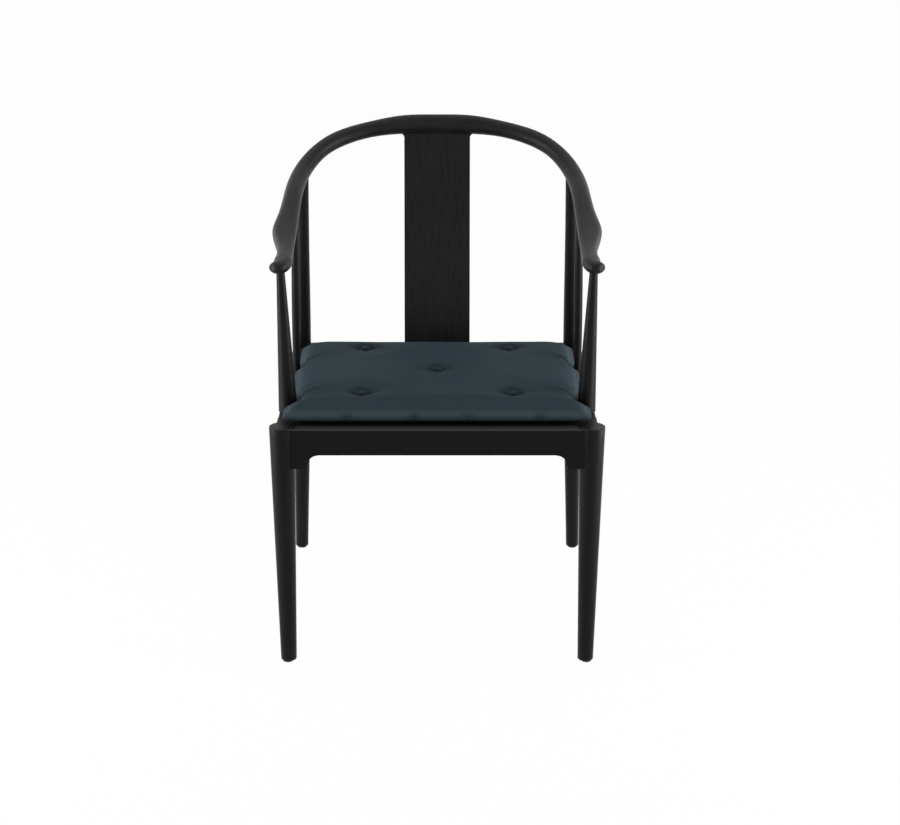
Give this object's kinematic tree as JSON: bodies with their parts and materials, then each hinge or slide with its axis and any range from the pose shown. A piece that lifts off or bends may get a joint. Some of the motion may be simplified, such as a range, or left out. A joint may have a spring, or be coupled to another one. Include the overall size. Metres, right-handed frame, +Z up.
{
  "type": "horseshoe back armchair",
  "caption": "Armchair with a one-line horseshoe rail that runs into scroll-ended arms, a bent back splat, round tapered legs and a loose tufted leather cushion.",
  "frame": {"origin": "on the floor under the middle of the chair", "axes": "+X to the right seen from the front, +Y to the back, +Z up"},
  "size_m": [0.55, 0.55, 0.82],
  "materials": {
    "black_ash": "black stained ash, satin lacquer, fine upright grain",
    "panel_ash": "black stained ash board, satin lacquer",
    "leather": "smooth dark teal leather, soft sheen",
    "foam": "cut upholstery foam",
    "twine": "waxed upholstery twine",
    "button_back": "black moulded plastic",
    "glide": "black nylon",
    "screw_steel": "zinc plated steel"
  },
  "bodies": {
    "chair_frame": {"arm_left": "black_ash", "arm_post_left": "black_ash", "arm_post_right": "black_ash", "arm_right": "black_ash", "back_splat": "black_ash", "brace_screws": "screw_steel", "corner_block_front_left_cross": "black_ash", "corner_block_front_left_side": "black_ash", "corner_block_front_right_cross": "black_ash", "corner_block_front_right_side": "black_ash", "corner_block_rear_left_cross": "black_ash", "corner_block_rear_left_side": "black_ash", "corner_block_rear_right_cross": "black_ash", "corner_block_rear_right_side": "black_ash", "corner_brace_front_left": "black_ash", "corner_brace_front_right": "black_ash", "corner_brace_rear_left": "black_ash", "corner_brace_rear_right": "black_ash", "crest_rail": "black_ash", "foot_glide_front_left": "glide", "foot_glide_front_right": "glide", "foot_glide_rear_left": "glide", "foot_glide_rear_right": "glide", "front_leg_left": "black_ash", "front_leg_right": "black_ash", "front_rail": "black_ash", "rear_leg_left": "black_ash", "rear_leg_right": "black_ash", "rear_rail": "black_ash", "seat_panel": "panel_ash", "side_rail_left": "black_ash", "side_rail_right": "black_ash", "side_spindle_left": "black_ash", "side_spindle_right": "black_ash"},
    "cushion": {"cushion_cover": "leather", "cushion_core": "foam", "tuft_buttons": "leather", "tuft_ties": "twine", "tuft_backs": "button_back"}
  },
  "joints": [
    {"name": "cushion_lift", "type": "slide", "parent": "chair_frame", "child": "cushion", "axis": [0, 0, 1], "range_m": [0, 0.12]}
  ]
}
